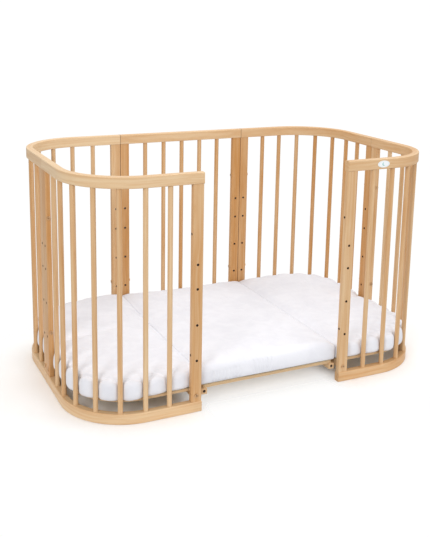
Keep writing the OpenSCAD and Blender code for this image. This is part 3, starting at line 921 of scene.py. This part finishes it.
def section_ring(section, height, low, high):
    """One level of a section's outline, going round it once."""
    fullness = max(math.sin(math.pi * (height - low) / (high - low)), 0) ** 0.45
    outer = edge_inset(height, low, high, OUTER_ROUND_BOTTOM, OUTER_ROUND_TOP)
    seam = edge_inset(height, low, high, SEAM_ROUND, SEAM_ROUND) + SEAM_GAP

    def place(run, sign_x, sign_y, from_seam):
        depth = cover_depth(run, sign_y, fullness) + outer + START_SMALL
        if from_seam < CORNER_ROUND:
            missing = CORNER_ROUND - from_seam
            depth += CORNER_ROUND - math.sqrt(CORNER_ROUND ** 2 - missing ** 2)
        return from_rail(run, depth, sign_x, sign_y)

    ring = []
    if section == "middle":
        half = panel_end - seam
        for side in (-1, 1):
            for x in np.linspace(-half, half, 121) * -side:
                ring.append(place(abs(x), math.copysign(1, x), side, half - abs(x)))
            ring += straight_between(ring[-1], place(half, -side, -side, 0))
    else:
        sign = -1 if section == "left" else 1
        start = panel_end + seam
        runs = np.linspace(start, run_end, 190)
        ring += [place(run, sign, -1, run - start) for run in runs]
        ring += [place(run, sign, 1, run - start) for run in runs[::-1]]
        ring += straight_between(ring[-1], ring[0])
    return ring


def straight_between(start, end, steps=120):
    """Points between two others, without the two ends."""
    start, end = np.array(start), np.array(end)
    return [tuple(start + (end - start) * k / steps) for k in range(1, steps)]


def section_form(section):
    """The closed form of a section, as a mesh object."""
    low, high = MATTRESS_BOTTOM + START_SMALL / 2, MATTRESS_TOP - START_SMALL
    levels = [low + (high - low) * (1 - math.cos(math.pi * k / LEVELS)) / 2
              for k in range(LEVELS + 1)]
    rings = [[(x, y, z) for x, y in section_ring(section, z, low, high)] for z in levels]
    count = len(rings[0])
    faces = [(a + k * count, (a + 1) % count + k * count, (a + 1) % count + (k + 1) * count,
              a + (k + 1) * count) for k in range(len(rings) - 1) for a in range(count)]
    faces += [tuple(range(count))[::-1], tuple(range((len(rings) - 1) * count,
                                                     len(rings) * count))]
    mesh = bpy.data.meshes.new(f"{section}_mattress_cover")
    mesh.from_pydata([p for ring in rings for p in ring], [], faces)
    shape = bmesh.new()
    shape.from_mesh(mesh)
    bmesh.ops.recalc_face_normals(shape, faces=shape.faces)
    shape.to_mesh(mesh)
    shape.free()
    form = bpy.data.objects.new(f"{section}_mattress_cover", mesh)
    bpy.context.scene.collection.objects.link(form)
    return form


print("cover from", round(MATTRESS_BOTTOM / MM, 1), "to", round(MATTRESS_TOP / MM, 1), "mm high")

# %% Even net and pressure
VOXEL = 6 * MM
PRESSURE = 4
SETTLE_FRAMES = 12
MOST_SWELL = 7 * MM
HELD_WITHIN = 4 * MM


def apply_modifiers(form):
    """Keeps what the modifiers make as the object's own mesh."""
    ready = form.evaluated_get(bpy.context.evaluated_depsgraph_get())
    mesh = bpy.data.meshes.new_from_object(ready)
    form.modifiers.clear()
    form.data = mesh


def read_points(mesh):
    points = np.empty(len(mesh.vertices) * 3)
    mesh.vertices.foreach_get("co", points)
    return points.reshape(-1, 3)


def write_points(mesh, points):
    mesh.vertices.foreach_set("co", points.ravel())
    mesh.update()


def even_net(form):
    remesh = form.modifiers.new("even_net", "REMESH")
    remesh.mode = "VOXEL"
    remesh.voxel_size = VOXEL
    apply_modifiers(form)


def hold_seams(form):
    """A vertex group that keeps the seam sides and the underside where they are."""
    points = read_points(form.data)
    beside_seam = np.abs(np.abs(points[:, 0]) - panel_end) < HELD_WITHIN
    under = points[:, 2] < MATTRESS_BOTTOM + HELD_WITHIN
    held = form.vertex_groups.new(name="held")
    held.add([int(k) for k in np.flatnonzero(beside_seam | under)], 1.0, "REPLACE")
    return held.name


def fill_with_pressure(form):
    """Swells the cover with a short cloth simulation, and caps how far each point moves."""
    before = read_points(form.data)
    held = hold_seams(form)
    cloth = form.modifiers.new("filling", "CLOTH")
    cloth.settings.quality = 4
    cloth.settings.vertex_group_mass = held
    cloth.settings.mass = 0.3
    cloth.settings.tension_stiffness = 15
    cloth.settings.compression_stiffness = 15
    cloth.settings.bending_stiffness = 0.6
    cloth.settings.use_pressure = True
    cloth.settings.uniform_pressure_force = PRESSURE
    cloth.settings.effector_weights.gravity = 0
    cloth.collision_settings.use_collision = False
    cloth.point_cache.frame_start = 1
    cloth.point_cache.frame_end = SETTLE_FRAMES
    for number in range(1, SETTLE_FRAMES + 1):
        bpy.context.scene.frame_set(number)
    apply_modifiers(form)
    bpy.context.scene.frame_set(1)
    move = read_points(form.data) - before
    length = np.linalg.norm(move, axis=1, keepdims=True)
    limit = MOST_SWELL * np.tanh(length / MOST_SWELL) / np.maximum(length, 1e-9)
    write_points(form.data, before + move * limit)
    return float(length.max())


def one_subdivision(form):
    finer = form.modifiers.new("finer", "SUBSURF")
    finer.levels = finer.render_levels = 1
    apply_modifiers(form)


print("net of", VOXEL / MM, "mm squares, filled over", SETTLE_FRAMES, "frames")

# %% The three covers, filled
covers = {}
for section in SECTIONS:
    cover = section_form(section)
    even_net(cover)
    pushed = fill_with_pressure(cover)
    one_subdivision(cover)
    covers[section] = cover
    print(section, len(cover.data.vertices), "points; pressure moved at most",
          round(pushed / MM, 1), "mm before the cap")

# %% [markdown]
# ## Mattress: creases, folds and clearance
#
# With the cover filled, the marks that fabric keeps are added by moving points: folds that fan out
# from each slat, a long dip where the end posts press, fine pleats across the top, gathers low on
# the open front, and a shallow crown. The simulation's net is too coarse to hold these by itself.
# Last, every point that would touch wood is moved clear.

# %% Strokes and folds


def smooth_step(value, low, high):
    share = np.clip((value - low) / (high - low), 0, 1)
    return share * share * (3 - 2 * share)


def stroke(points, start, end, width):
    """How strongly each point lies on a stroke: 1 on its line, 0 well away, tapered to its end."""
    start, end = np.array(start), np.array(end)
    way = end - start
    length = np.linalg.norm(way)
    way = way / length
    offset = points[:, :2] - start
    along, across = offset @ way, offset @ np.array((-way[1], way[0]))
    taper = 1 - smooth_step(along, 0.1 * length, length)
    before = np.exp(-(np.minimum(along, 0) / (0.8 * width)) ** 2)
    return np.exp(-(across / width) ** 2) * taper * before


def fold(points, start, end, width):
    """A stroke with a low ridge on each side of its groove, as a fold in cloth has."""
    return stroke(points, start, end, width) - 0.45 * stroke(points, start, end, 2.3 * width)


near_start = fold(np.array([[10 * MM, 0.0]]), (0, 0), (100 * MM, 0), 5 * MM)
print("a fold near its start, of a full depth of 1:", round(float(near_start[0]), 2))

# %% Folds at the slats
# Each fold is (lean from straight inward in degrees, reach in mm, depth in mm).
SLAT_FOLDS = ((-62, 64, 9.0), (0, 40, 5.0), (62, 64, 9.0))
TIGHTNESS_RIGHT = 0.6


def inward_at(x, y):
    """Unit direction from a place on the rail towards the inside of the crib."""
    away = np.array((max(abs(x) - corner_x, 0) * math.copysign(1, x),
                     max(abs(y) - corner_y, 0) * math.copysign(1, y)))
    return -away / np.linalg.norm(away)


def fan_of_folds(chance):
    """The folds that start at each slat: (start, end, width, depth)."""
    folds = []
    for x, y in slats:
        inward = inward_at(x, y)
        foot = np.array((x, y)) + inward * (slat_radius + 1 * MM)
        for lean, reach, depth in SLAT_FOLDS:
            angle = math.radians(lean + chance.uniform(-14, 14))
            turn = np.array(((math.cos(angle), -math.sin(angle)),
                             (math.sin(angle), math.cos(angle))))
            end = foot + turn @ inward * reach * MM * chance.uniform(0.75, 1.2)
            tightness = 1.0 if x < 0 else TIGHTNESS_RIGHT
            folds.append((foot, end, chance.uniform(5.5, 8.0) * MM,
                          depth * tightness * MM * chance.uniform(0.7, 1.15)))
    return folds


print(len(slats) * len(SLAT_FOLDS), "folds at the slats")

# %% Dips, pleats and gathers


def long_marks():
    """Dips and pleats on the top of the cover, listed one by one: (start, end, width, depth)."""
    end_x = half_length - 30 * MM
    seam = panel_end - 12 * MM
    return [
        ((-end_x, 0.0), (-0.33, 0.05), 19 * MM, 14 * MM),
        ((end_x, 0.0), (0.42, -0.03), 15 * MM, 8 * MM),
        ((-0.58, -0.09), (-0.45, -0.17), 8 * MM, 1.6 * MM),
        ((-0.33, 0.18), (-0.335, -0.02), 5 * MM, 1.3 * MM),
        ((-0.43, -0.02), (-0.40, -0.2), 8 * MM, 1.2 * MM),
        ((-seam, -0.37), (-0.18, -0.2), 9 * MM, 1.8 * MM),
        ((seam, -0.37), (0.16, -0.24), 8 * MM, 1.8 * MM),
        ((0.02, 0.3), (0.04, -0.1), 7 * MM, 1.1 * MM),
        ((0.1, 0.2), (0.11, -0.2), 6 * MM, 1.2 * MM),
        ((0.17, 0.05), (0.19, -0.28), 6 * MM, 1.2 * MM),
        ((-0.12, 0.25), (-0.09, -0.05), 7 * MM, 1.1 * MM),
        ((0.52, 0.26), (0.46, 0.0), 6 * MM, 1.5 * MM),
        ((0.47, 0.2), (0.39, 0.04), 6 * MM, 1.5 * MM),
        ((0.42, 0.28), (0.33, 0.1), 7 * MM, 1.3 * MM),
        ((0.36, 0.0), (0.31, -0.22), 7 * MM, 1.3 * MM),
    ]


def front_gathers(chance):
    """Short upright gathers low on the open front: (x, lowest, highest, width, depth)."""
    low = [(x, 78 * MM, 124 * MM) for x in np.arange(-0.215, -0.11, 0.0125)]
    high = [(x, 92 * MM, 142 * MM) for x in np.arange(-0.062, 0.01, 0.017)]
    return [(x + chance.uniform(-2, 2) * MM, bottom, top, 3.6 * MM,
             chance.uniform(2.2, 3.8) * MM) for x, bottom, top in low + high]


print(len(long_marks()), "dips and pleats chosen by hand")

# %% Lay the marks on a section
CROWN = 3.0 * MM
SEAM_DIP, SEAM_DIP_WIDTH = 4.5 * MM, 15 * MM
BACK_RISE, BACK_RISE_X, BACK_RISE_WIDTH = 14 * MM, -0.33, 0.13
RIPPLE = 0.35 * MM


def mark_cover(form):
    """Moves the points of a finished cover to show folds, pleats, gathers and its crown."""
    chance = np.random.default_rng(5)
    points = read_points(form.data)
    normals = np.empty(len(points) * 3)
    form.data.vertices.foreach_get("normal", normals)
    normals = normals.reshape(-1, 3)
    x, y, z = points.T
    upper = smooth_step(z, 92 * MM, 128 * MM)
    facing_up = smooth_step(normals[:, 2], 0.2, 0.9)
    sink = np.zeros(len(points))
    for start, end, width, depth in fan_of_folds(chance):
        sink += depth * fold(points, start, end, width) * upper
    for start, end, width, depth in long_marks():
        sink += depth * fold(points, start, end, width) * upper * facing_up
    ripple = np.sin(x / (19 * MM) + 2.2 * np.sin(y / (83 * MM))) * np.sin(
        y / (71 * MM) + 1.7 * np.sin(x / (57 * MM)))
    sink += RIPPLE * ripple * facing_up
    for place, bottom, top, width, depth in front_gathers(chance):
        on_front = smooth_step(-normals[:, 1], 0.5, 0.9)
        height = smooth_step(z, bottom - 8 * MM, bottom) * (1 - smooth_step(z, top - 12 * MM, top))
        sink += depth * np.exp(-((x - place) / width) ** 2) * on_front * height
    points = points - normals * sink[:, None]
    from_seam = np.abs(np.abs(x) - panel_end)
    depth_in = np.minimum(from_seam / 0.1, 1) * np.clip(
        (half_depth - 20 * MM - np.abs(y)) / 0.12, 0, 1)
    dip = SEAM_DIP * np.exp(-(from_seam / SEAM_DIP_WIDTH) ** 2)
    points[:, 2] += upper * facing_up * (CROWN * smooth_step(depth_in, 0, 1) - dip)
    back_left = np.exp(-((x - BACK_RISE_X) / BACK_RISE_WIDTH) ** 2) * smooth_step(y, 0.1, 0.36)
    points[:, 2] += BACK_RISE * back_left * upper
    write_points(form.data, points)


print("top crowned by", CROWN / MM, "mm")

# %% Keep the covers clear of the wood
LOBE_SAG = 6 * MM
BOARD_EDGE_DEPTH = rail_thickness / 2 + 3 * MM
BESIDE_POST = 1.5 * MM


def outside_by(x, y, depth):
    """How far each point lies outside the line that runs so deep inside the rail's middle line."""
    past_x = np.maximum(np.abs(x) - corner_x, 0)
    past_y = np.maximum(np.abs(y) - corner_y, 0)
    return np.hypot(past_x, past_y) - (middle_radius - depth)


def keep_clear(form, section):
    """Moves every point that would touch a slat, a post or the boards just clear of it."""
    points = read_points(form.data)
    for centre in slats:
        offset = points[:, :2] - centre
        distance = np.linalg.norm(offset, axis=1)
        close = distance < slat_radius + COVER_GAP
        push = (slat_radius + COVER_GAP) / np.maximum(distance[close], 1e-6)
        points[close, :2] = centre + offset[close] * push[:, None]
    x, y, z = points.T
    post_face = half_depth - rail_thickness / 2 - post_half_depth - COVER_GAP
    for low, high, side in ((panel_end, panel_end + post_width, -1),
                            (panel_end - post_width, panel_end + post_width, 1)):
        beside = ((np.abs(x) > low - BESIDE_POST) & (np.abs(x) < high + BESIDE_POST)
                  & (y * side > 0))
        points[beside, 1] = side * np.minimum(np.abs(y[beside]), post_face)
    end_face = half_length - rail_thickness / 2 - post_half_depth - COVER_GAP
    at_end = np.abs(y) < post_width + BESIDE_POST
    points[at_end, 0] = np.clip(x[at_end], -end_face, end_face)
    beyond_board = outside_by(x, y, BOARD_EDGE_DEPTH)
    at_corner = smooth_step(np.abs(x), corner_x - 20 * MM, corner_x + 60 * MM)
    at_opening = (y < 0) * (1 - smooth_step(np.abs(x), panel_end - 40 * MM, panel_end))
    sag = LOBE_SAG * np.maximum(at_corner, at_opening)
    points[:, 2] -= sag * smooth_step(beyond_board, 0, 8 * MM) * (
        1 - smooth_step(z, 90 * MM, 125 * MM))
    lowest = MATTRESS_BOTTOM - sag * smooth_step(beyond_board, 0.5 * MM, 6 * MM)
    points[:, 2] = np.maximum(points[:, 2], lowest)
    if section == "middle":
        points[:, 0] = np.clip(x, SEAM_GAP - panel_end, panel_end - SEAM_GAP)
    else:
        points[:, 0] = np.copysign(np.maximum(np.abs(x), panel_end + SEAM_GAP), x)
    write_points(form.data, points)


for section, cover in covers.items():
    mark_cover(cover)
    keep_clear(cover, section)
    for polygon in cover.data.polygons:
        polygon.use_smooth = True
    print(section, "cover spans", [round(v, 3) for v in cover.dimensions])

# %% [markdown]
# ## Cotton
#
# The cover is plain white cotton percale: threads cross over and under about every half
# millimetre. Two crossed waves make the weave's height, one noise makes the cloth's small creases,
# and a stretched one draws fine pleats across the crib. The colour turns a little blue-grey in the
# hollows of the small creases: painted shade, mixed with a slower noise of uneven tone, which keeps
# the white from looking like plaster.

# %% Cotton weave


def make_cotton_weave():
    group, enter, leave = new_group(
        "cotton_weave",
        [("Point", VECTOR, None), ("White", COLOUR, (0.9, 0.9, 0.92, 1)),
         ("Shade", COLOUR, (0.8, 0.8, 0.84, 1)), ("Thread", FLOAT, 0.5 * MM)],
        [("Color", COLOUR), ("Roughness", FLOAT), ("Height", FLOAT)])
    point = enter.outputs["Point"]
    x, y, z = add(group, "ShaderNodeSeparateXYZ", Vector=point).outputs
    turns = maths(group, "DIVIDE", math.pi, enter.outputs["Thread"])

    def thread(value):
        return maths(group, "SINE", maths(group, "MULTIPLY", value, turns))

    weave = maths(group, "MULTIPLY", thread(maths(group, "ADD", x, z)), thread(y))
    slub = add(group, "ShaderNodeTexNoise", Vector=point, Scale=420.0, Detail=3.0)
    crumple = add(group, "ShaderNodeTexNoise", Vector=point, Scale=26.0, Detail=4.0,
                  Roughness=0.55, Distortion=0.6)
    soft = add(group, "ShaderNodeTexNoise", Vector=point, Scale=7.0, Detail=2.0)
    drawn = add(group, "ShaderNodeVectorMath", {"operation": "MULTIPLY"}, i0=point,
                i1=(1.0, 0.16, 0.5))
    pleats = add(group, "ShaderNodeTexNoise", Vector=drawn.outputs[0], Scale=75.0, Detail=3.0,
                 Distortion=0.4)
    # Painted shade: the Shade colour goes where the crumple noise, which also sinks the bumps, is
    # low, so crease hollows come out darker; the soft noise only varies the tone at random.
    hollow = maths(group, "ADD", maths(group, "MULTIPLY", crumple.outputs["Fac"], 0.5),
                   maths(group, "MULTIPLY", soft.outputs["Fac"], 0.5))
    tone = rescale(group, hollow, 0.36, 0.64)
    group.links.new(blend_colours(group, tone, enter.outputs["Shade"], enter.outputs["White"]),
                    leave.inputs["Color"])
    group.links.new(maths(group, "MULTIPLY_ADD", slub.outputs["Fac"], 0.2, 0.72),
                    leave.inputs["Roughness"])
    height = maths(group, "MULTIPLY_ADD", weave, 0.04, maths(
        group, "MULTIPLY", slub.outputs["Fac"], 0.05))
    height = maths(group, "MULTIPLY_ADD", pleats.outputs["Fac"], 0.42, height)
    group.links.new(maths(group, "MULTIPLY_ADD", crumple.outputs["Fac"], 1.0, height),
                    leave.inputs["Height"])
    return group


cotton_weave = make_cotton_weave()
print("cotton weave:", len(cotton_weave.nodes), "nodes")

# %% Cotton on the covers
THREAD = 0.55 * MM


def white_cotton():
    material, tree, shader = new_material("white_cotton")
    place = crib_place(tree)
    cloth = place_group(tree, cotton_weave, Point=place, White=(0.785, 0.79, 0.836, 1),
                        Shade=(0.735, 0.74, 0.79, 1), Thread=THREAD)
    tree.links.new(cloth.outputs["Color"], shader.inputs["Base Color"])
    tree.links.new(cloth.outputs["Roughness"], shader.inputs["Roughness"])
    raise_bumps(tree, shader, cloth.outputs["Height"], 0.35, 3 * MM)
    shader.inputs["Specular IOR Level"].default_value = 0.2
    shader.inputs["Sheen Weight"].default_value = 0.15
    shader.inputs["Sheen Roughness"].default_value = 0.5
    return material


cotton = white_cotton()
for section, cover in covers.items():
    give(cotton, cover)
    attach(cover, f"{section}_mattress")
    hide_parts(f"{section}_mattress")
print("three covers ride on their sections")
